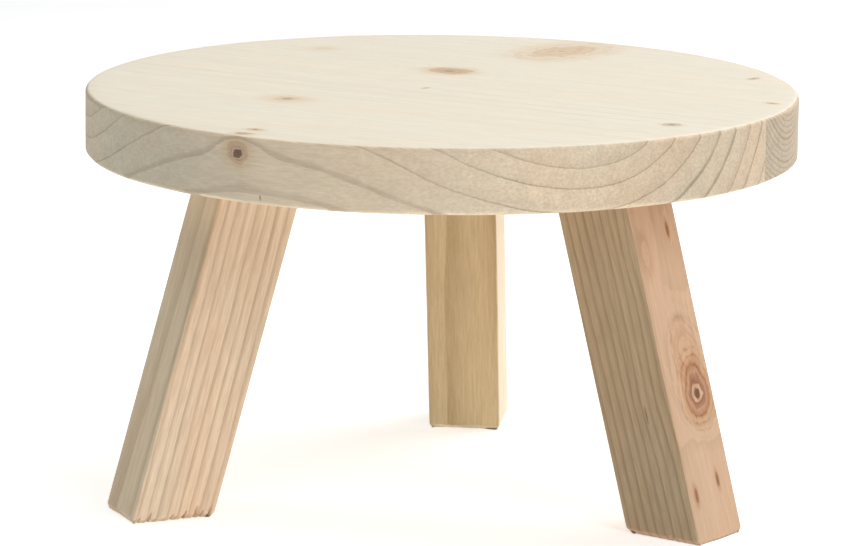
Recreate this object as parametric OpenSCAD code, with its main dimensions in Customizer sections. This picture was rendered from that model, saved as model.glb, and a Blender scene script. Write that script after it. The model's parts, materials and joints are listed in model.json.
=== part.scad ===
// Round three-legged milking stool in bare softwood.
// The seat is two boards edge-glued and turned to a disc. Three square-section legs splay
// outwards, are cut flat at both ends, and butt against the seat's underside on hidden dowels.
// Origin: centre of the seat in plan, at floor level. +Z is up and +Y points to the rear leg's side.

/* [Seat] */
// Diameter of the seat
seat_d = 300; // [260:5:420]
// Thickness of the seat boards
seat_t = 27; // [22:1:45]
// Rounding of the seat's upper and lower arrises
seat_round = 2; // [0.5:0.5:6]
// Direction of the boards' grain in plan, anticlockwise from +X
grain_deg = -30; // [-180:5:180]
// Distance from the seat's centre to the glue line, towards the rear board
glue_line_offset = 5; // [-20:1:20]

/* [Legs] */
// Height from the floor to the top of the seat
stool_h = 173; // [130:1:450]
// Size of a leg's section along the seat's radius
leg_depth = 35; // [26:0.5:50]
// Size of a leg's section across the seat's radius
leg_width = 32; // [26:0.5:50]
// Lean of a leg away from the vertical
leg_splay = 16; // [4:0.5:20]
// Distance from the seat's centre to a leg's axis, at the seat's underside
leg_top_r = 85; // [65:1:95]
// Turn of the rear leg from +Y towards +X
leg_turn = 6; // [0:1:119]
// Rounding of a leg's long arrises
leg_round = 1; // [0.5:0.25:4]
// Chamfer around a leg's sole
foot_chamfer = 2; // [0.5:0.5:6]

/* [Dowels] */
// Diameter of a dowel
dowel_d = 8; // [6:0.5:10]
// Length of a dowel inside the seat
dowel_in_seat = 15; // [10:1:18]
// Length of a dowel inside the leg
dowel_in_leg = 20; // [10:1:30]
// Spacing of the two dowels in a leg, centre to centre
dowel_pitch = 16; // [12:0.5:16]
// Chamfer at each end of a dowel
dowel_chamfer = 1; // [0.5:0.25:2]
// Depth of the glue flutes along a dowel
flute_depth = 0.3; // [0.1:0.1:0.5]
// Number of glue flutes around a dowel
flute_count = 12; // [6:1:16]
// Radial room for glue between a dowel and its hole
glue_gap = 0.05; // [0.02:0.01:0.1]
// Room for glue at the end of a dowel hole
hole_end_gap = 1; // [0.5:0.5:3]

/* [Hidden] */

$fn = 96;
flute_r = 0.5;
overcut = 1;
seat_r = seat_d / 2;
seat_under_z = stool_h - seat_t;
seat_color = [0.94, 0.90, 0.81];
leg_color = [0.84, 0.73, 0.57];
dowel_color = [0.80, 0.64, 0.46];

// Azimuths of the legs, clockwise from +Y seen from above
rear_deg = leg_turn;
right_deg = leg_turn + 120;
left_deg = leg_turn + 240;

// A leg's axis at the floor, and half of its section as the horizontal cuts see it
foot_r = leg_top_r + seat_under_z * tan(leg_splay);
half_cut = leg_depth / 2 / cos(leg_splay);

// The dowels stand upright in the middle of the stretch of leg that they reach into
dowel_r = leg_top_r + dowel_in_leg / 2 * tan(leg_splay);

// ---------- shared shapes ----------

// Rectangle with rounded corners, from true arcs
module rounded_rect(size, round) {
    square([size.x - 2 * round, size.y], center = true);
    square([size.x, size.y - 2 * round], center = true);
    for (x = [-1, 1], y = [-1, 1])
        translate([x * (size.x / 2 - round), y * (size.y / 2 - round)])
            circle(r = round, $fn = 32);
}

// Turns a shape drawn towards +Y to a leg's azimuth
module at_leg(azimuth) {
    rotate([0, 0, -azimuth]) children();
}

// Places a shape at the two dowel stations of a leg: side is -1 or 1
module at_dowel(azimuth, side) {
    at_leg(azimuth)
        translate([side * dowel_pitch / 2, dowel_r, seat_under_z]) children();
}

// Room for one dowel, blind at both ends
module dowel_hole() {
    translate([0, 0, -dowel_in_leg - hole_end_gap])
        cylinder(d = dowel_d + 2 * glue_gap, h = dowel_in_leg + dowel_in_seat + 2 * hole_end_gap);
}

// Every dowel hole of the stool
module dowel_holes() {
    for (azimuth = [rear_deg, right_deg, left_deg], side = [-1, 1])
        at_dowel(azimuth, side) dowel_hole();
}

// ---------- seat ----------

// The turned disc, with both arrises rounded
module seat_blank() {
    translate([0, 0, seat_under_z])
        rotate_extrude($fn = 180)
            intersection() {
                translate([0, seat_t / 2])
                    rounded_rect([seat_d, seat_t], seat_round);
                square([seat_r, seat_t]);
            }
}

// One side of the glue line: side is -1 for the front board, 1 for the rear board
module board_side(side) {
    rotate([0, 0, grain_deg])
        translate([-seat_d, side < 0 ? glue_line_offset - seat_d : glue_line_offset, 0])
            cube([2 * seat_d, seat_d, stool_h + overcut]);
}

module seat_board(side) {
    difference() {
        intersection() {
            seat_blank();
            board_side(side);
        }
        dowel_holes();
    }
}

module seat_board_front() {
    color(seat_color) seat_board(-1);
}

module seat_board_rear() {
    color(seat_color) seat_board(1);
}

// ---------- legs ----------

// The splayed bar, long enough to pass both horizontal cuts
module leg_bar() {
    bar_l = stool_h / cos(leg_splay) + 2 * leg_depth;
    translate([0, leg_top_r, seat_under_z])
        rotate([leg_splay, 0, 0])
            translate([0, 0, leg_depth - bar_l])
                linear_extrude(height = bar_l)
                    rounded_rect([leg_width, leg_depth], leg_round);
}

// Triangle that takes an arris off: a and b are where the chamfer meets the two faces
module arris_wedge(a, b, corner) {
    past = 2 * corner - (a + b) / 2;
    polygon([2 * a - b, past, 2 * b - a]);
}

// The chamfer around the sole, in a leg that points to +Y
module sole_chamfer() {
    c = foot_chamfer;
    up_leg = c * [-sin(leg_splay), cos(leg_splay)];
    for (side = [-1, 1]) {
        edge = [foot_r + side * half_cut, 0];
        rotate([90, 0, 90])
            linear_extrude(height = 2 * leg_width, center = true)
                arris_wedge(edge - [side * c, 0], edge + up_leg, edge);
        flank = [side * leg_width / 2, 0];
        translate([0, foot_r + 2 * leg_depth, 0])
            rotate([90, 0, 0])
                linear_extrude(height = 4 * leg_depth)
                    arris_wedge(flank - [side * c, 0], flank + [0, c], flank);
    }
}

module leg(azimuth) {
    difference() {
        at_leg(azimuth)
            difference() {
                intersection() {
                    leg_bar();
                    translate([-leg_width, 0, 0])
                        cube([2 * leg_width, foot_r + leg_depth, seat_under_z]);
                }
                sole_chamfer();
            }
        for (side = [-1, 1]) at_dowel(azimuth, side) dowel_hole();
    }
}

module leg_rear() {
    color(leg_color) leg(rear_deg);
}

module leg_right() {
    color(leg_color) leg(right_deg);
}

module leg_left() {
    color(leg_color) leg(left_deg);
}

// ---------- dowels ----------

// A fluted dowel with chamfered ends, standing across the seat's underside
module dowel() {
    r = dowel_d / 2;
    difference() {
        rotate_extrude()
            polygon([
                [0, -dowel_in_leg],
                [r - dowel_chamfer, -dowel_in_leg],
                [r, dowel_chamfer - dowel_in_leg],
                [r, dowel_in_seat - dowel_chamfer],
                [r - dowel_chamfer, dowel_in_seat],
                [0, dowel_in_seat]
            ]);
        for (i = [0 : flute_count - 1])
            rotate([0, 0, i * 360 / flute_count])
                translate([r + flute_r - flute_depth, 0, -dowel_in_leg - overcut])
                    cylinder(r = flute_r, h = dowel_in_leg + dowel_in_seat + 2 * overcut, $fn = 16);
    }
}

module leg_dowel(azimuth, side) {
    color(dowel_color) at_dowel(azimuth, side) dowel();
}

module dowel_rear_1() {
    leg_dowel(rear_deg, -1);
}

module dowel_rear_2() {
    leg_dowel(rear_deg, 1);
}

module dowel_right_1() {
    leg_dowel(right_deg, -1);
}

module dowel_right_2() {
    leg_dowel(right_deg, 1);
}

module dowel_left_1() {
    leg_dowel(left_deg, -1);
}

module dowel_left_2() {
    leg_dowel(left_deg, 1);
}

seat_board_front();
seat_board_rear();
leg_rear();
leg_right();
leg_left();
dowel_rear_1();
dowel_rear_2();
dowel_right_1();
dowel_right_2();
dowel_left_1();
dowel_left_2();
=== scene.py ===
"""A low round milking stool in bare knotty softwood: its looks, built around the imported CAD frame.

Lengths are in metres in the row frame: +Z up, origin under the seat's centre at floor level.
Wood is a solid texture: growth rings are cylinders round a pith line, and every face cuts them.
A wood's and a knot's own lengths, and places inside a shader, are in millimetres.
"""

import json
import math

import bmesh
import bpy
from mathutils import Matrix, Vector, noise


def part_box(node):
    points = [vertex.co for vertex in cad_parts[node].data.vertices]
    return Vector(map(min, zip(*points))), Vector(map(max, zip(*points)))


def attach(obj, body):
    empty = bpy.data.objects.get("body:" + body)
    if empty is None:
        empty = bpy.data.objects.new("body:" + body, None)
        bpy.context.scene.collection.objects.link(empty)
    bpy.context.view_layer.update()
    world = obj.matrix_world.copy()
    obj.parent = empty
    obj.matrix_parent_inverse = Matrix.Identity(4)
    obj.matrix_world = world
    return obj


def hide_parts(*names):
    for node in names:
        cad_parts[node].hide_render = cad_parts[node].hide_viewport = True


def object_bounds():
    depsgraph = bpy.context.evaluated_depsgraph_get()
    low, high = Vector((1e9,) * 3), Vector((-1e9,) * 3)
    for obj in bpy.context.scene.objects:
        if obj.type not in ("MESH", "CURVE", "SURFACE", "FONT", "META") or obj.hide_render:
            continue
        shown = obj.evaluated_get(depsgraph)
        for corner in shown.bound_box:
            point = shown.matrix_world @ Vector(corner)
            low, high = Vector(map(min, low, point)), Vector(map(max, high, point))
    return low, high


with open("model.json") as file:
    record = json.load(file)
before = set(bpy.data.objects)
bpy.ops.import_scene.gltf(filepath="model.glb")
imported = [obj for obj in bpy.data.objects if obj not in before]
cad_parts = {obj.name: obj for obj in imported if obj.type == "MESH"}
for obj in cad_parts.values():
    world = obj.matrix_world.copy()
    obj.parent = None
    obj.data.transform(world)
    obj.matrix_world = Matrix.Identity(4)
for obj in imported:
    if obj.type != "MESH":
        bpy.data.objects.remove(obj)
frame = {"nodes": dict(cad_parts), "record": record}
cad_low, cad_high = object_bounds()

MM = 0.001
UP = Vector((0, 0, 1))


# ---------- sizes, from the frame ----------

FLOOR_Z = cad_low.z
TOP_Z = cad_high.z
UNDER_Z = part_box("seat_board_front")[0].z
SEAT_R = max(cad_high.x - cad_low.x, cad_high.y - cad_low.y) / 2

# What the frame's boxes can't tell, as in the CAD
SEAT_ROUND = 2 * MM
LEG_ROUND = 1 * MM
FOOT_CHAMFER = 2 * MM
HOLE_END_GAP = 1 * MM
GLUE_GAP = 0.05 * MM

# The boards' grain in plan, the direction across it, and where the glue line lies on that
GRAIN_TURN = math.radians(-30)
GRAIN = Vector((math.cos(GRAIN_TURN), math.sin(GRAIN_TURN), 0))
ACROSS = UP.cross(GRAIN)
GLUE_AT = max(v.co.dot(ACROSS) for v in frame["nodes"]["seat_board_front"].data.vertices)


def foot_mount(leg):
    """Centre of a leg's sole, from the record."""
    return Vector(next(m["pos_m"] for m in frame["record"]["mounts"] if m["name"] == "foot_" + leg))


class Leg:
    """Directions and sizes of one leg, read from its CAD node and its foot mount."""

    def __init__(self, leg):
        foot = foot_mount(leg)
        self.name = "leg_" + leg
        self.outward = foot.normalized()
        self.across = self.outward.cross(UP)
        points = [v.co for v in frame["nodes"][self.name].data.vertices]
        top = [p for p in points if p.z > UNDER_Z - 0.01 * MM]
        reach = [p.dot(self.outward) for p in top]
        self.half_width = max(abs(p.dot(self.across)) for p in points)
        self.half_cut = (max(reach) - min(reach)) / 2
        self.top_r = (max(reach) + min(reach)) / 2
        self.slope = (foot.length - self.top_r) / (UNDER_Z - FLOOR_Z)
        self.splay = math.atan(self.slope)
        self.along = (-math.sin(self.splay) * self.outward + math.cos(self.splay) * UP).normalized()
        self.normal = self.along.cross(self.across)

    def axis_r(self, z):
        """Distance from the seat's centre to the leg's axis at a height."""
        return self.top_r + (UNDER_Z - z) * self.slope

    def place(self, x, y, z):
        """A point from its offset across the leg, its distance from the centre, and its height."""
        return self.across * x + self.outward * y + UP * z

    def on_outer(self, u, v):
        """A point on the outer face: u goes left to right as seen from outside, v from top to sole."""
        z = UNDER_Z + (FLOOR_Z - UNDER_Z) * v
        return self.place((0.5 - u) * 2 * self.half_width, self.axis_r(z) + self.half_cut, z)

    def on_flank(self, side, u, v):
        """A point on a flank: side is -1 or 1 across, u goes from the inner to the outer edge."""
        z = UNDER_Z + (FLOOR_Z - UNDER_Z) * v
        return self.place(side * self.half_width, self.axis_r(z) + (2 * u - 1) * self.half_cut, z)


LEGS = {leg: Leg(leg) for leg in ("rear", "right", "left")}
REAR, RIGHT, LEFT = LEGS["rear"], LEGS["right"], LEGS["left"]


# ---------- shader building ----------

def rgb(r, g, b):
    return (r, g, b, 1.0)


class Shader:
    """Builds one material's node tree from short expressions. Values are sockets or constants."""

    def __init__(self, name):
        self.material = bpy.data.materials.new(name)
        self.material.use_nodes = True
        self.tree = self.material.node_tree
        self.tree.nodes.clear()

    def feed(self, socket, value):
        if isinstance(value, bpy.types.NodeSocket):
            self.tree.links.new(value, socket)
        else:
            socket.default_value = value

    def node(self, kind, inputs=None, **settings):
        made = self.tree.nodes.new("ShaderNode" + kind)
        for key, value in settings.items():
            setattr(made, key, value)
        for key, value in (inputs or {}).items():
            self.feed(made.inputs[key], value)
        return made

    def math(self, operation, *values):
        return self.node("Math", dict(enumerate(values)), operation=operation).outputs[0]

    def product(self, first, *others):
        for other in others:
            first = self.math("MULTIPLY", first, other)
        return first

    def vector(self, operation, *values):
        made = self.node("VectorMath", dict(enumerate(values)), operation=operation)
        return made.outputs["Value" if operation in ("DOT_PRODUCT", "LENGTH") else "Vector"]

    def scaled(self, vector, scale):
        return self.vector("MULTIPLY", vector, scale)

    def noise(self, vector, scale, detail=2.0, rough=0.5, output="Fac"):
        """Noise from 0 to 1, or three of them as a colour. scale is per millimetre, one for each axis."""
        inputs = {"Vector": self.scaled(vector, scale), "Scale": 1.0, "Detail": detail, "Roughness": rough}
        return self.node("TexNoise", inputs).outputs[output]

    def step(self, value, low, high):
        """0 below low, 1 above high, and smooth between."""
        inputs = {"Value": value, "From Min": low, "From Max": high}
        return self.node("MapRange", inputs, interpolation_type="SMOOTHSTEP").outputs["Result"]

    def less(self, value, low, high):
        """1 below low, 0 above high, and smooth between."""
        inputs = {"Value": value, "From Min": low, "From Max": high, "To Min": 1.0, "To Max": 0.0}
        return self.node("MapRange", inputs, interpolation_type="SMOOTHSTEP").outputs["Result"]

    def band(self, value, low, full_low, full_high, high):
        """1 from full_low to full_high, 0 below low and above high, and smooth between."""
        return self.product(self.step(value, low, full_low), self.less(value, full_high, high))

    def joined(self, parts):
        return self.node("CombineXYZ", dict(enumerate(parts))).outputs[0]

    def repeated(self, value):
        return self.joined([value] * 3)

    def part(self, vector, axis):
        return self.node("SeparateXYZ", {0: vector}).outputs[axis]

    def spread(self, value, low, high):
        """Maps 0 to 1 onto low to high."""
        return self.node("MapRange", {"Value": value, "To Min": low, "To Max": high}).outputs["Result"]

    def mix(self, share, a, b, blend="MIX"):
        made = self.node("Mix", data_type="RGBA", blend_type=blend)
        for socket, value in zip((made.inputs[0], made.inputs[6], made.inputs[7]), (share, a, b)):
            self.feed(socket, value)
        return made.outputs[2]

    def tinted(self, colour, share, tone):
        """The colour multiplied by a tone, to a share from 0 to 1."""
        return self.mix(share, colour, tone, "MULTIPLY")

    def finish(self, colour, roughness, height, relief, glow=0.0):
        """Ends the tree: relief is how deep, in metres, the height goes from 0 to 1."""
        bump = self.node("Bump", {"Strength": 1.0, "Distance": relief, "Height": height})
        inputs = {"Base Color": colour, "Roughness": roughness, "Specular IOR Level": 0.25,
                  "Normal": bump.outputs["Normal"], "Emission Color": rgb(1, 1, 1),
                  "Emission Strength": glow}
        surface = self.node("BsdfPrincipled", inputs)
        output = self.node("OutputMaterial")
        self.tree.links.new(surface.outputs["BSDF"], output.inputs["Surface"])
        return self.material


# ---------- softwood ----------

class Knot:
    """A branch that a face cuts at a point. It grows from the pith, or along a given way.

    radius is the branch's own, stretched along the grain, and lift stretches its upper side more.
    dark is how strongly it shows, wobble how uneven its outline is, and rings how many it has.
    heart is the dark core's share of the radius, and eye draws pale and dark rings round the core.
    halo is how far the stain and the bent rings reach past the radius, and swirl draws lines there.
    depth is how far the branch goes on each side of the face, and edge darkens its outline.
    """

    def __init__(self, at, radius, tone, **more):
        self.at, self.radius, self.tone = at, radius, tone
        self.dark = more.get("dark", 0.8)
        self.heart = more.get("heart", 0.35)
        self.heart_tone = more.get("heart_tone", rgb(0.10, 0.05, 0.03))
        self.eye = more.get("eye", 0.0)
        self.halo = more.get("halo", 1.2)
        self.halo_tone = more.get("halo_tone", rgb(0.88, 0.72, 0.56))
        self.depth = more.get("depth", 40)
        self.stretch = more.get("stretch", 1.3)
        self.lift = more.get("lift", 1.0)
        self.wobble = more.get("wobble", 0.5)
        self.rings = more.get("rings", 4.2)
        self.swirl = more.get("swirl", 0.0)
        self.edge = more.get("edge", 0.45)
        self.way = more.get("way")


class Wood:
    """How one piece was cut from its tree: where the pith runs, how the rings lie, and its knots.

    ring is a year's growth, uneven how much that varies, and first moves the rings inwards by a share.
    line is the share of a ring before its dark line, and contrast how dark the line is.
    taper and sway tilt and bend the rings along the trunk.
    faces are (way, calm, tone): a face towards that way shows less figure and takes the tone. Some tones
    are painted shade, marked where the woods are given.
    """

    def __init__(self, pith, along, side, ring, early, late, **more):
        self.pith, self.along, self.side, self.ring = pith, along, side, ring
        self.early, self.late = early, late
        self.knots = more.get("knots", ())
        self.contrast = more.get("contrast", 0.8)
        self.taper = more.get("taper", 0.006)
        self.sway = more.get("sway", 2.0)
        self.uneven = more.get("uneven", 0.5)
        self.line = more.get("line", 0.80)
        self.speckle = more.get("speckle", 0.5)
        self.fibres = more.get("fibres", 1.0)
        self.end_tone = more.get("end_tone", rgb(0.90, 0.90, 0.90))
        self.faces = more.get("faces", ())
        self.seed = more.get("seed", 0.0)
        self.first = more.get("first", 0.0)

    def turned(self, way):
        """A direction's parts along the grain, to the side, and the third way."""
        return Vector((way.dot(self.along), way.dot(self.side), way.dot(self.along.cross(self.side))))

    def local(self, point):
        """A point's place from the pith, in millimetres along the same three ways."""
        return self.turned((point - self.pith) / MM)


# A branch leans up the trunk by this share of its distance from the pith
BRANCH_LEAN = 0.12
# A branch bends the rings by this many of its own radii
BRANCH_PUSH = 1.3
# A ring's dark line is full at this share of the ring, and ends between the other two
LINE_FULL, LINE_FADES, LINE_ENDS = 0.93, 0.95, 1.0
# The slow darkening before the line starts at this share of the ring, and is this dark
SLOW_STARTS, SLOW_DARK = 0.25, 0.16


def knot_fields(s, wood, place, seeded):
    """For each knot, how far a point is from the branch's line and whether the branch reaches it."""
    fields = []
    for knot in wood.knots:
        at = wood.local(knot.at)
        out = Vector((BRANCH_LEAN * at.yz.length, at.y, at.z)).normalized()
        if knot.way:
            out = wood.turned(knot.way)
        away = s.vector("SUBTRACT", place, at)
        reach = s.vector("DOT_PRODUCT", away, out)
        aside = s.vector("SUBTRACT", away, s.scaled(s.repeated(reach), out))
        ahead = s.part(aside, "X")
        ahead = s.math("MAXIMUM", s.math("MULTIPLY", ahead, 1 / (knot.stretch * knot.lift)),
                       s.math("MULTIPLY", ahead, -1 / knot.stretch))
        close = s.vector("LENGTH", s.joined([ahead, s.part(aside, "Y"), s.part(aside, "Z")]))
        grain = 1.6 / knot.radius
        wobble = s.noise(seeded, (0.5 * grain, grain, grain), detail=3, rough=0.6)
        wobble = s.math("SUBTRACT", wobble, 0.5)
        close = s.math("MULTIPLY_ADD", wobble, knot.wobble * knot.radius, close)
        here = s.less(s.math("ABSOLUTE", reach), knot.depth * 0.6, knot.depth)
        fields.append((knot, close, here))
    return fields


def ring_field(s, wood, place, seeded, knots):
    """Distance from the pith in rings: it sways along the trunk and bends round the knots."""
    drift = s.noise(seeded, (0.006, 0.018, 0.018), output="Color")
    drift = s.vector("SUBTRACT", drift, (0.5,) * 3)
    swayed = s.vector("ADD", place, s.scaled(drift, (0, 2 * wood.sway, 2 * wood.sway)))
    radius = s.vector("LENGTH", s.scaled(swayed, (0, 1, 1)))
    radius = s.math("MULTIPLY_ADD", s.part(place, "X"), wood.taper, radius)
    ragged = s.noise(seeded, (0.05, 0.4, 0.4), detail=3, rough=0.6)
    radius = s.math("MULTIPLY_ADD", ragged, 0.10 * wood.ring, radius)
    for knot, close, here in knots:
        share = s.math("DIVIDE", close, knot.radius * (1 + knot.halo))
        bell = s.math("EXPONENT", s.product(share, share, -1.0))
        radius = s.math("ADD", radius, s.product(bell, here, BRANCH_PUSH * knot.radius))
    wander = s.node("TexNoise", {"W": s.math("MULTIPLY", radius, 0.55 / wood.ring), "Detail": 1.0},
                    noise_dimensions="1D").outputs["Fac"]
    shift = s.math("MULTIPLY_ADD", wander, wood.uneven, wood.first)
    return s.math("MULTIPLY_ADD", radius, 1 / wood.ring, shift)


def late_wood(s, wood, rings, seeded):
    """How much late wood a point has: a slow darkening, then the thin dark line that ends each ring."""
    phase = s.math("FRACT", rings)
    year = s.node("TexWhiteNoise", {"W": s.math("FLOOR", rings)}, noise_dimensions="1D").outputs["Value"]
    faded = s.spread(s.noise(seeded, (0.012, 0.06, 0.06)), 0.35, 1.35)
    line = s.band(phase, wood.line, LINE_FULL, LINE_FADES, LINE_ENDS)
    line = s.product(line, faded, s.spread(year, 0.6, 1.0))
    slow = s.band(phase, SLOW_STARTS, LINE_FULL, LINE_FADES, LINE_ENDS)
    return s.math("MULTIPLY_ADD", slow, SLOW_DARK, line)


def knotted(s, wood, colour, knots, seeded):
    """Paints the knots: a warm halo and swirls, thin broken rings, a dark edge, the eye, and the core."""
    broken = s.noise(seeded, (0.12, 0.30, 0.30), detail=3, rough=0.7)
    gaps = s.spread(s.step(broken, 0.35, 0.65), 0.25, 1.0)
    for knot, close, here in knots:
        ratio = s.math("DIVIDE", close, knot.radius)
        halo = s.product(s.less(ratio, 0.8, 1.0 + knot.halo), here, knot.dark)
        colour = s.tinted(colour, halo, knot.halo_tone)

        rings = s.less(s.math("PINGPONG", s.math("MULTIPLY", ratio, knot.rings), 1.0), 0.0, 0.55)
        rings = s.product(rings, gaps)
        swirl = s.product(rings, s.less(ratio, 1.0, 2.4), here, knot.swirl)
        colour = s.tinted(colour, swirl, SWIRL_TONE)

        branch = s.product(s.less(ratio, 0.75, 1.12), here, knot.dark)
        pale = s.mix(s.spread(broken, 0.0, 0.55), knot.tone, wood.early)
        colour = s.mix(branch, colour, s.mix(rings, pale, s.tinted(knot.tone, 1.0, KNOT_RING_TONE)))
        edge = s.product(s.band(ratio, 0.72, 0.95, 0.97, 1.2), here, knot.edge * knot.dark)
        colour = s.tinted(colour, edge, KNOT_EDGE_TONE)

        core = knot.heart
        if knot.eye:
            cream = s.band(ratio, core, 1.3 * core, 1.6 * core, 2.0 * core)
            colour = s.mix(s.product(cream, gaps, here, knot.eye), colour, wood.early)
            bark = s.band(ratio, 1.7 * core, 2.0 * core, 2.2 * core, 2.9 * core)
            colour = s.tinted(colour, s.product(bark, here, knot.eye), BARK_TONE)
        heart = s.product(s.less(ratio, 0.75 * core, 1.2 * core), here, knot.dark)
        colour = s.mix(heart, colour, knot.heart_tone)
    return colour


def softwood(name, wood):
    """Spruce in the solid: early wood, dark late-wood lines, fibres, knots and darker end grain."""
    s = Shader(name)
    coordinates = s.node("TexCoord")
    offset = s.vector("SUBTRACT", coordinates.outputs["Object"], wood.pith)
    ways = [wood.along, wood.side, wood.along.cross(wood.side)]
    place = s.joined([s.vector("DOT_PRODUCT", offset, way / MM) for way in ways])
    seeded = s.vector("ADD", place, Vector((wood.seed, wood.seed * 0.7, wood.seed * 1.3)))
    knots = knot_fields(s, wood, place, seeded)
    late = late_wood(s, wood, ring_field(s, wood, place, seeded, knots), seeded)

    fibre = s.noise(seeded, (0.07, 1.0, 1.0), detail=4, rough=0.75)
    streak = s.noise(seeded, (0.010, 0.22, 0.22), detail=3, rough=0.6)
    blotch = s.noise(seeded, (0.012, 0.035, 0.035))
    speck = s.noise(seeded, (1.2, 2.2, 2.2), detail=3, rough=0.8)

    facing = coordinates.outputs["Normal"]
    end = s.step(s.math("ABSOLUTE", s.vector("DOT_PRODUCT", facing, wood.along)), 0.35, 1.0)
    figure = 1.0
    sides = []
    for way, calm, tone in wood.faces:
        share = s.step(s.vector("DOT_PRODUCT", facing, way), 0.70, 0.92)
        sides.append((share, tone))
        figure = s.math("MULTIPLY", figure, s.math("MULTIPLY_ADD", share, -calm, 1.0))
    lively = s.spread(figure, 0.30, 1.0)

    colour = s.mix(s.product(late, figure, wood.contrast), wood.early, wood.late)
    blotches = s.mix(s.spread(blotch, -0.5, 1.5), rgb(1.04, 0.97, 0.91), rgb(0.98, 1.01, 1.01))
    colour = s.tinted(colour, lively, blotches)
    streaks = s.mix(s.spread(streak, -0.4, 1.4), rgb(0.90, 0.88, 0.86), rgb(1.06, 1.06, 1.06))
    colour = s.tinted(colour, lively, streaks)
    fibres = s.mix(s.step(fibre, 0.25, 0.75), rgb(0.86, 0.83, 0.80), rgb(1.10, 1.11, 1.12))
    colour = s.tinted(colour, s.product(lively, wood.fibres), fibres)
    specks = s.product(s.step(speck, 0.45, 0.65), s.spread(end, 0.15, 1.0), wood.speckle)
    colour = s.tinted(colour, specks, rgb(0.78, 0.74, 0.70))
    colour = s.tinted(colour, end, wood.end_tone)
    # Each face takes its tone; some tones are painted shade that darkens or greys a face
    for share, tone in sides:
        colour = s.tinted(colour, share, tone)
    colour = knotted(s, wood, colour, knots, seeded)

    height = s.math("MULTIPLY_ADD", late, 0.30, fibre)
    return s.finish(colour, s.spread(fibre, 0.72, 0.52), height, relief=0.10 * MM)


# ---------- pieces ----------

def piece(name, bm, material):
    """A finished mesh, riding on the root body."""
    bmesh.ops.recalc_face_normals(bm, faces=bm.faces)
    mesh = bpy.data.meshes.new(name)
    bm.to_mesh(mesh)
    bm.free()
    made = bpy.data.objects.new(name, mesh)
    bpy.context.scene.collection.objects.link(made)
    mesh.materials.append(material)
    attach(made, "root")
    return made


def drill(made, dowels):
    """Cuts blind holes for the dowels and keeps the result as the piece's own mesh."""
    for dowel in dowels:
        low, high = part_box(dowel)
        radius = (high.x - low.x) / 2 + GLUE_GAP
        bm = bmesh.new()
        bmesh.ops.create_cone(bm, cap_ends=True, segments=48, radius1=radius, radius2=radius,
                              depth=high.z - low.z + 2 * HOLE_END_GAP,
                              matrix=Matrix.Translation((low + high) / 2))
        mesh = bpy.data.meshes.new("hole")
        bm.to_mesh(mesh)
        bm.free()
        cutter = bpy.data.objects.new("hole", mesh)
        bpy.context.scene.collection.objects.link(cutter)
        cut = made.modifiers.new("hole", "BOOLEAN")
        cut.operation, cut.solver, cut.object = "DIFFERENCE", "MANIFOLD", cutter
        evaluated = made.evaluated_get(bpy.context.evaluated_depsgraph_get())
        drilled = bpy.data.meshes.new_from_object(evaluated)
        made.modifiers.clear()
        made.data = drilled
        bpy.data.objects.remove(cutter)
    made.data.shade_smooth()
    made.data.set_sharp_from_angle(angle=math.radians(35))


def ring_mesh(rings):
    """A closed skin over rings of points that run anticlockwise, from the top ring down."""
    bm = bmesh.new()
    loops = [[bm.verts.new(p) for p in ring] for ring in rings]
    for upper, lower in zip(loops, loops[1:]):
        for i in range(len(upper)):
            j = (i + 1) % len(upper)
            bm.faces.new((upper[i], lower[i], lower[j], upper[j]))
    bm.faces.new(loops[0])
    bm.faces.new(reversed(loops[-1]))
    return bm


# ---------- the seat's boards ----------

# Steps round the seat, round each of its arrises, and down its rim
SEAT_AROUND, ARC_STEPS, RIM_STEPS = 720, 7, 14
# Circles of points on the flat top and underside, as shares of the radius
FLAT_SHARES = (0.04, 0.15, 0.3, 0.45, 0.6, 0.75, 0.88, 0.95)
# The rim stays inside the turned radius by up to this much
RIM_UNEVEN = 0.12 * MM


def unevenness(angle, scale, seed):
    """Smooth noise round a circle, from about -1 to 1."""
    return noise.noise(Vector((scale * math.cos(angle), scale * math.sin(angle), seed)))


def seat_profile(angle):
    """Radius and height of the seat's skin at one angle, from the top's middle to the underside's."""
    radius = SEAT_R - RIM_UNEVEN * (1 + unevenness(angle, 2.0, 1.5)) / 2
    top_round = SEAT_ROUND * (1 + 0.22 * unevenness(angle, 5.0, 4.5))
    low_round = SEAT_ROUND * (1 + 0.30 * unevenness(angle, 6.0, 8.5))
    turns = [math.pi / 2 * i / ARC_STEPS for i in range(ARC_STEPS + 1)]
    side_low, side_high = UNDER_Z + low_round, TOP_Z - top_round
    points = [(SEAT_R * share, TOP_Z) for share in FLAT_SHARES]
    for turn in turns:
        points.append((radius - top_round * (1 - math.sin(turn)),
                       TOP_Z - top_round * (1 - math.cos(turn))))
    for i in range(1, RIM_STEPS):
        points.append((radius, side_high + (side_low - side_high) * i / RIM_STEPS))
    for turn in turns:
        points.append((radius - low_round * (1 - math.cos(turn)),
                       UNDER_Z + low_round * (1 - math.sin(turn))))
    points += [(SEAT_R * share, UNDER_Z) for share in reversed(FLAT_SHARES)]
    return points


def seat_board(name, side, material, dowels):
    """One of the two boards that the seat was glued up and turned from: side is -1 front, 1 rear."""
    angles = [math.tau * i / SEAT_AROUND for i in range(SEAT_AROUND)]
    profiles = [seat_profile(angle) for angle in angles]
    rings = []
    for level in zip(*profiles):
        rings.append([Vector((radius * math.cos(angle), radius * math.sin(angle), z))
                      for angle, (radius, z) in zip(angles, level)])
    bm = ring_mesh(rings)
    bmesh.ops.bisect_plane(bm, geom=bm.verts[:] + bm.edges[:] + bm.faces[:], dist=1e-7,
                           plane_co=ACROSS * GLUE_AT, plane_no=-side * ACROSS, clear_outer=True)
    bmesh.ops.holes_fill(bm, edges=[e for e in bm.edges if e.is_boundary])
    made = piece(name, bm, material)
    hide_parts(name.replace("turned_", "seat_"))
    drill(made, dowels)


# ---------- the legs ----------

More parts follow.
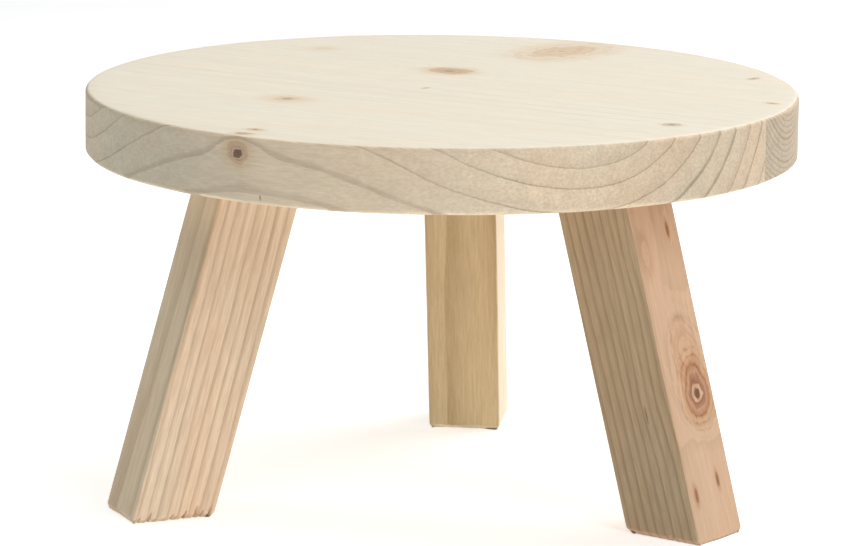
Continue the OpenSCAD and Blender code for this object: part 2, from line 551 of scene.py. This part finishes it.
# Steps along each side of a leg's section, and round each of its corners
PER_SIDE, PER_CORNER = 90, 5
# Near the sole the sections lie closer
FINE_BELOW, FINE_STEP, COARSE_STEP = 7 * MM, 0.35 * MM, 1.5 * MM
# How much the sole's chamfer varies with wear, how much its edge is frayed, and how soft its turn is
WORN, FRAYED, SOFT_TURN = 0.35, 0.30 * MM, 0.4 * MM
# How much the planed faces are out of true
PLANED_ROUGH = 0.05 * MM


class Nick:
    """A short split in the end of a flank, from the sole up: side is -1 or 1 across, u inner to outer."""

    width, depth = 0.6 * MM, 3.2 * MM

    def __init__(self, side, u, height):
        self.side, self.u, self.height = side, u, height * MM

    def depth_at(self, leg, y, up, way_x):
        """How deep the split is at a point y outwards of the leg's axis and up above the sole."""
        beside = abs(y - (2 * self.u - 1) * leg.half_cut) / self.width
        if way_x * self.side < 0.9 or beside >= 1 or up >= self.height:
            return 0.0
        return self.depth * (1 - beside * beside) * (1 - up / self.height)


def section(half_x, y_low, y_high, corner):
    """A rounded rectangle's points, anticlockwise, each with the way that it faces."""
    corners = [(half_x - corner, y_low + corner), (half_x - corner, y_high - corner),
               (corner - half_x, y_high - corner), (corner - half_x, y_low + corner)]
    points = []
    for k, (cx, cy) in enumerate(corners):
        start = 90 * k - 90
        for i in range(PER_CORNER + 1):
            turn = math.radians(start + 90 * i / PER_CORNER)
            way = (math.cos(turn), math.sin(turn))
            points.append((cx + corner * way[0], cy + corner * way[1], way))
        nx, ny = corners[(k + 1) % 4]
        facing = math.radians(start + 90)
        way = (round(math.cos(facing)), round(math.sin(facing)))
        for i in range(1, PER_SIDE):
            share = i / PER_SIDE
            points.append((cx + (nx - cx) * share + corner * way[0],
                           cy + (ny - cy) * share + corner * way[1], way))
    return points


def soft_ramp(value, softness):
    """About 0 below 0 and value above it, with a soft turn."""
    return (value + math.sqrt(value * value + softness * softness)) / 2


def section_heights():
    """Heights of a leg's sections, from the sole up."""
    heights = [FLOOR_Z]
    while heights[-1] < UNDER_Z - 2 * MM:
        fine = heights[-1] - FLOOR_Z < FINE_BELOW
        heights.append(heights[-1] + (FINE_STEP if fine else COARSE_STEP))
    return heights + [UNDER_Z]


def leg_piece(name, leg, material, dowels, seed, nicks):
    """A splayed bar as a stack of level sections, with worn arrises and a chipped sole."""
    rings = []
    for z in reversed(section_heights()):
        up = z - FLOOR_Z
        middle = leg.axis_r(z)
        ring = []
        points = section(leg.half_width, middle - leg.half_cut, middle + leg.half_cut, LEG_ROUND)
        for x, y, (wx, wy) in points:
            spot = Vector((x / MM, (y - middle) / MM, up / MM))
            worn = noise.noise(spot * 0.09 + Vector((seed, 0, 0)))
            frayed = noise.noise(Vector((spot.x * 0.9, spot.y * 0.9, spot.z * 0.12 + seed)))
            rough = PLANED_ROUGH * noise.noise(Vector((spot.x * 0.5, spot.y * 0.5, spot.z * 0.03 + seed)))
            chamfer = FOOT_CHAMFER * (1 + WORN * worn) + FRAYED * frayed
            inset = soft_ramp(chamfer - up, SOFT_TURN)
            inset += sum(nick.depth_at(leg, y - middle, up, wx) for nick in nicks)
            x -= (inset + rough) * wx
            y -= (inset * (1 - math.sin(leg.splay) * wy) + rough) * wy
            ring.append(leg.place(x, y, z))
        rings.append(ring)
    made = piece(name, ring_mesh(rings), material)
    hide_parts(leg.name)
    drill(made, dowels)


# ---------- the stool's woods ----------

# The seat's wood, and what sanding makes of its top
EARLY_SEAT = rgb(0.82, 0.70, 0.535)
LATE_SEAT = rgb(0.38, 0.29, 0.20)
SANDED = rgb(1.18, 1.28, 1.42)

# Knots and stains
BROWN = rgb(0.20, 0.10, 0.06)
DARK_RED = rgb(0.28, 0.13, 0.07)
RED_BROWN = rgb(0.42, 0.24, 0.14)
ORANGE = rgb(0.70, 0.48, 0.30)
GREY = rgb(0.42, 0.36, 0.30)
SWIRL_TONE = rgb(0.62, 0.42, 0.28)
KNOT_RING_TONE = rgb(0.85, 0.80, 0.75)
KNOT_EDGE_TONE = rgb(0.55, 0.40, 0.30)
BARK_TONE = rgb(0.34, 0.17, 0.08)


def on_top(x, y):
    """A point on the seat's top, from millimetres in plan."""
    return Vector((x * MM, y * MM, TOP_Z))


def on_rim(degrees, drop):
    """A point on the rim: degrees from the front, positive to the right, and millimetres below the top."""
    turn = math.radians(degrees)
    return Vector((SEAT_R * math.sin(turn), -SEAT_R * math.cos(turn), TOP_Z - drop * MM))


FRONT_WOOD = Wood(
    pith=ACROSS * -92 * MM + UP * (TOP_Z + 35 * MM), along=GRAIN, side=ACROSS, ring=9.6,
    early=EARLY_SEAT, late=LATE_SEAT, seed=11.0, first=0.20, line=0.80, taper=0.004, sway=3.0,
    uneven=0.35, contrast=0.70,
    faces=((UP, 0.85, SANDED),
           # Painted shade: the rim's left end, on the shaded side, is greyed and darkened
           (Vector((-0.95, -0.30, 0)), 0.0, rgb(0.86, 0.91, 0.94)),
           (-ACROSS, 0.40, rgb(0.89, 0.89, 0.89)),
           (Vector((0.92, -0.39, 0)), 0.0, rgb(0.88, 0.87, 0.86))),
    knots=(
        Knot(on_top(-64, -35), 4.0, ORANGE, dark=0.42, heart=0.38, heart_tone=BROWN, halo=2.2, depth=9,
             edge=0.1),
        Knot(on_top(93, -88), 1.8, GREY, dark=0.45, depth=6, stretch=2.0),
        Knot(on_top(-74, -112), 2.2, ORANGE, dark=0.5, depth=3, stretch=1.6, edge=0.1),
        Knot(on_top(-7, -3), 0.9, GREY, dark=0.35, depth=6),
        Knot(on_rim(-32.4, 7), 3.6, rgb(0.46, 0.30, 0.20), dark=0.85, heart=0.42,
             heart_tone=rgb(0.13, 0.07, 0.05), halo=1.3, halo_tone=rgb(0.92, 0.82, 0.70), wobble=0.9,
             rings=3.0, edge=0.3, depth=12),
        Knot(on_rim(-28.3, 24), 0.9, GREY, dark=0.9, halo=0.3, stretch=0.5, depth=4),
    ))

REAR_WOOD = Wood(
    pith=ACROSS * 37 * MM + UP * (TOP_Z + 24 * MM), along=GRAIN, side=ACROSS, ring=2.4,
    early=EARLY_SEAT, late=LATE_SEAT, seed=47.0, line=0.50, sway=3.0, contrast=0.50, speckle=1.0,
    end_tone=rgb(0.79, 0.78, 0.78),
    faces=((UP, 0.90, SANDED), (Vector((0.71, -0.71, 0)), 0.0, rgb(0.82, 0.82, 0.82))),
    knots=(
        Knot(on_top(3, 44), 7.5, rgb(0.52, 0.32, 0.18), dark=0.60, heart=0.20, heart_tone=RED_BROWN,
             halo=1.0, wobble=0.9, edge=0.15, depth=16),
        Knot(on_top(53, 103), 5.5, rgb(0.72, 0.47, 0.28), dark=0.45, heart=0.02, heart_tone=ORANGE,
             halo=1.8, stretch=1.9, wobble=1.0, swirl=0.35, edge=0.0),
        Knot(on_top(-53, 103), 3.0, ORANGE, dark=0.22, heart=0.02, halo=2.4, wobble=0.9, edge=0.0,
             depth=16),
        Knot(on_top(137, -32), 1.6, GREY, dark=0.45, depth=6, stretch=1.8),
        Knot(on_top(133, 33), 1.3, GREY, dark=0.45, depth=6),
    ))


# How far inwards of a leg's axis its pith lies, and a year's growth there
LEG_PITH, LEG_RING = 62, 3.9


def leg_wood(leg, early, late, lean=0.0, aside=0, **more):
    """Stock whose rings show as lines down the flanks, because its pith is inwards of the leg.

    aside moves the pith across the leg, and lean is how many degrees the grain leans off the leg.
    """
    middle = (FLOOR_Z + UNDER_Z) / 2
    centre = leg.place(0, leg.axis_r(middle), middle)
    turn = Matrix.Rotation(math.radians(lean), 3, leg.across)
    pith = centre - leg.normal * LEG_PITH * MM + leg.across * aside * MM
    return Wood(pith, turn @ leg.along, leg.across, LEG_RING, early, late, uneven=0.15, sway=1.2,
                line=0.52, fibres=0.85, end_tone=rgb(0.62, 0.61, 0.61), **more)


def slash(at):
    """A small branch cut aslant: a short dark dash along the grain."""
    return Knot(at, 1.0, DARK_RED, heart=0.8, heart_tone=DARK_RED, dark=0.95, halo=1.5, depth=5,
                stretch=3.2)


WOODS = {
    "rear": leg_wood(
        REAR, rgb(0.94, 0.83, 0.67), rgb(0.56, 0.42, 0.27), seed=5.0, aside=6, contrast=0.6,
        # Partly painted shade: the inner face is darkened for the seat's shadow over it, and partly given
        # its own olive-tan colour
        faces=((-REAR.normal, 0.0, rgb(0.66, 0.59, 0.44)),)),
    "right": leg_wood(
        RIGHT, rgb(0.74, 0.52, 0.36), rgb(0.42, 0.27, 0.17), seed=23.0, lean=0.8, aside=-4, contrast=0.65,
        # The first tone is partly painted shade: it darkens the flank facing front left, under the seat,
        # and partly gives it its own olive colour
        faces=((RIGHT.across, 0.0, rgb(0.64, 0.70, 0.66)), (RIGHT.normal, 0.5, rgb(0.85, 0.83, 0.81))),
        knots=(
            Knot(RIGHT.on_outer(0.58, 0.48), 7.0, rgb(0.62, 0.39, 0.23), dark=0.35, heart=0.02,
                 halo=0.6, stretch=1.5, wobble=0.7, rings=3.0, swirl=0.5, edge=0.2, depth=12),
            Knot(RIGHT.on_outer(0.65, 0.60), 8.0, rgb(0.42, 0.19, 0.09), dark=0.88, heart=0.24,
                 heart_tone=rgb(0.12, 0.05, 0.02), halo=0.8, stretch=1.15, lift=1.25, wobble=0.65,
                 rings=6.0, eye=0.65, swirl=0.75, depth=22),
            slash(RIGHT.on_outer(0.76, 0.15)),
            Knot(RIGHT.on_outer(0.18, 0.20), 2.5, ORANGE, dark=0.40, heart=0.02, halo=1.5, stretch=2.5,
                 wobble=0.9, edge=0.0, depth=8),
            slash(RIGHT.on_outer(0.16, 0.865)),
            slash(RIGHT.on_outer(0.69, 0.84)),
            Knot(RIGHT.on_flank(1, 0.64, 0.65), 0.4, BROWN, dark=0.7, halo=0.2, depth=3, stretch=9.0,
                 way=RIGHT.across),
        )),
    "left": leg_wood(
        LEFT, rgb(0.84, 0.67, 0.50), rgb(0.54, 0.38, 0.25), seed=71.0, lean=-1.0, aside=16, contrast=0.68,
        # Partly painted shade: the outer face, on the shaded left side, is greyed a little, besides its own
        # greyer tone
        faces=((LEFT.normal, 0.1, rgb(0.92, 0.98, 0.98)),)),
}

NICKS = {
    "rear": (),
    "right": (Nick(1, 0.62, 3.0), Nick(-1, 0.3, 2.5)),
    "left": (Nick(-1, 0.07, 5.5), Nick(-1, 0.16, 4.0), Nick(-1, 0.24, 6.5), Nick(-1, 0.37, 4.5),
             Nick(-1, 0.52, 3.4), Nick(-1, 0.80, 5.0), Nick(-1, 0.92, 3.0)),
}


def dowels_of(*legs):
    """Names of the CAD dowels under these legs."""
    return ["dowel_%s_%d" % (leg, number) for leg in legs for number in (1, 2)]


def build_seat():
    front = softwood("softwood_front", FRONT_WOOD)
    seat_board("turned_board_front", -1, front, dowels_of("right", "left"))
    rear = softwood("softwood_rear", REAR_WOOD)
    seat_board("turned_board_rear", 1, rear, dowels_of("rear"))


def build_legs():
    for number, (way, leg) in enumerate(LEGS.items()):
        material = softwood("softwood_leg_" + way, WOODS[way])
        leg_piece("splayed_leg_" + way, leg, material, dowels_of(way), 3.7 + 10 * number, NICKS[way])


# ---------- dowels ----------

def beech():
    """Pale pinkish hardwood with short flecks along the dowel."""
    s = Shader("beech")
    place = s.scaled(s.node("TexCoord").outputs["Object"], (1 / MM,) * 3)
    fleck = s.noise(place, (1.5, 1.5, 0.25), detail=3, rough=0.6)
    fibre = s.noise(place, (3.0, 3.0, 0.1))
    colour = s.mix(s.step(fleck, 0.35, 0.7), rgb(0.62, 0.42, 0.26), rgb(0.72, 0.53, 0.36))
    return s.finish(colour, s.spread(fibre, 0.5, 0.7), fibre, relief=0.05 * MM)


def dress_dowels():
    """Gives the CAD's own dowels their wood."""
    material = beech()
    for name, node in frame["nodes"].items():
        if name.startswith("dowel"):
            node.data.materials.clear()
            node.data.materials.append(material)


# ---------- floor, light and camera ----------

def plain_floor():
    """A wide white table that glows a little, so that it reads as the studio's white."""
    s = Shader("pale_floor")
    place = s.scaled(s.node("TexCoord").outputs["Object"], (1 / MM,) * 3)
    grain = s.noise(place, (0.5, 0.5, 0.5))
    colour = s.mix(grain, rgb(0.79, 0.79, 0.79), rgb(0.81, 0.81, 0.81))
    material = s.finish(colour, 0.8, grain, relief=0.01 * MM, glow=0.52)
    half = 8.0
    corners = [(x * half, y * half, FLOOR_Z) for x, y in ((-1, -1), (1, -1), (1, 1), (-1, 1))]
    mesh = bpy.data.meshes.new("floor")
    mesh.from_pydata(corners, [], [(0, 1, 2, 3)])
    mesh.materials.append(material)
    floor = bpy.data.objects.new("floor", mesh)
    bpy.context.scene.collection.objects.link(floor)


def from_front(azimuth, elevation):
    """The way towards a spot seen from the stool. Azimuth 0 is the front and 90 the right."""
    a, e = math.radians(azimuth), math.radians(elevation)
    return Vector((math.sin(a) * math.cos(e), -math.cos(a) * math.cos(e), math.sin(e)))


def soft_light(name, azimuth, elevation, distance, size, power, colour=(1, 1, 1)):
    """A square softbox aimed at the stool."""
    back = from_front(azimuth, elevation)
    data = bpy.data.lights.new(name, "AREA")
    data.shape, data.size, data.energy, data.color = "SQUARE", size, power, colour
    light = bpy.data.objects.new(name, data)
    light.location = UP * (TOP_Z / 2) + back * distance
    light.rotation_euler = (-back).to_track_quat("-Z", "Y").to_euler()
    bpy.context.scene.collection.objects.link(light)


def studio():
    """Softboxes overhead, in front, on the left, and behind on the right, and little light elsewhere."""
    world = bpy.data.worlds.new("studio")
    world.use_nodes = True
    background = world.node_tree.nodes["Background"]
    background.inputs["Color"].default_value = rgb(1, 1, 1)
    background.inputs["Strength"].default_value = 0.02
    bpy.context.scene.world = world
    soft_light("overhead", azimuth=-90, elevation=84, distance=2.2, size=2.6, power=23)
    soft_light("key", azimuth=38, elevation=30, distance=2.0, size=1.0, power=11.5)
    soft_light("fill", azimuth=0, elevation=35, distance=2.2, size=1.2, power=4.5)
    soft_light("left", azimuth=-100, elevation=45, distance=2.0, size=0.6, power=5, colour=(0.92, 1.0, 1.0))
    soft_light("rim", azimuth=120, elevation=35, distance=2.0, size=1.8, power=30)
    bpy.context.scene.view_settings.view_transform = "Standard"


def camera():
    """The photographer's view: a long lens from the front, a little above the seat."""
    distance, azimuth, elevation = 2.0742, 0.22, 11.51
    aim_aside, aim_up, roll, lens = -0.0028, 0.0066, 0.66, 202.8
    centre = UP * ((FLOOR_Z + TOP_Z) / 2)
    at = centre + from_front(azimuth, elevation) * distance
    look = (centre + Vector((aim_aside, 0, aim_up)) - at).normalized()
    right = look.cross(UP).normalized()
    upward = right.cross(look)
    turn = math.radians(roll)
    rolled = math.cos(turn) * right + math.sin(turn) * upward
    raised = math.cos(turn) * upward - math.sin(turn) * right
    data = bpy.data.cameras.new("camera")
    data.lens, data.sensor_width = lens, 36.0
    made = bpy.data.objects.new("camera", data)
    made.matrix_world = Matrix((rolled, raised, -look)).transposed().to_4x4()
    made.location = at
    bpy.context.scene.collection.objects.link(made)
    bpy.context.scene.camera = made


build_seat()
build_legs()
dress_dowels()
plain_floor()
studio()
camera()
